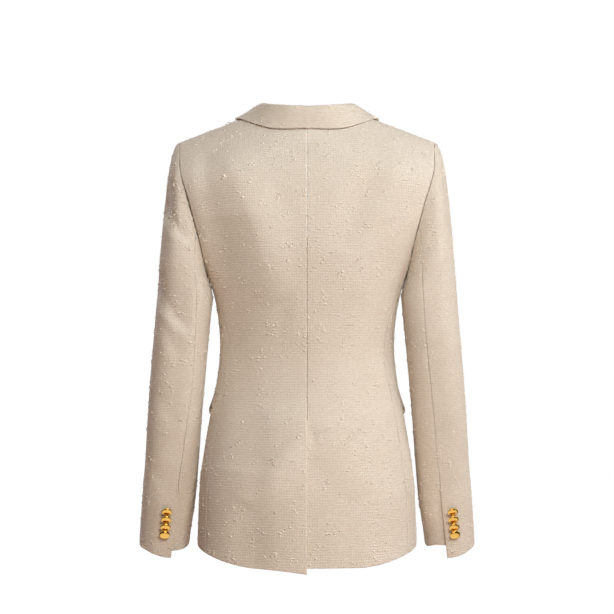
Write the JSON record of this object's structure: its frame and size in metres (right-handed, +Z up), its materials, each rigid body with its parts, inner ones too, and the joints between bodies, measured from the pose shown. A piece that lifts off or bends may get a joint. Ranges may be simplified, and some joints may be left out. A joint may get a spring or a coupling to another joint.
{
  "type": "double breasted blazer",
  "caption": "Cream tweed double breasted blazer with peak lapels, flap pockets, a back vent and gilt buttons, filled out as worn.",
  "frame": {"origin": "mount wearer_shoulders: the middle of the line over both shoulders, level with the nape, where a wearer carries the coat", "axes": "+Z up, from the hem to the collar; +Y out of the back; +X towards the wearer's left sleeve"},
  "size_m": [0.5076, 0.2711, 0.6932],
  "materials": {
    "tweed": "cream slub tweed",
    "buttons": "polished gilt"
  },
  "bodies": {
    "root": {"back_left": "tweed", "back_right": "tweed", "side_left": "tweed", "side_right": "tweed", "front_left": "tweed", "front_right": "tweed", "lapel_left": "tweed", "lapel_right": "tweed", "sleeve_top_left": "tweed", "sleeve_top_right": "tweed", "sleeve_under_left": "tweed", "sleeve_under_right": "tweed", "pocket_flap_left": "tweed", "pocket_flap_right": "tweed", "collar": "tweed", "cuff_button_left_1": "buttons", "cuff_button_left_2": "buttons", "cuff_button_left_3": "buttons", "cuff_button_left_4": "buttons", "cuff_button_right_1": "buttons", "cuff_button_right_2": "buttons", "cuff_button_right_3": "buttons", "cuff_button_right_4": "buttons", "front_button_left_1": "buttons", "front_button_left_2": "buttons", "front_button_left_3": "buttons", "front_button_right_1": "buttons", "front_button_right_2": "buttons", "front_button_right_3": "buttons"}
  },
  "joints": []
}
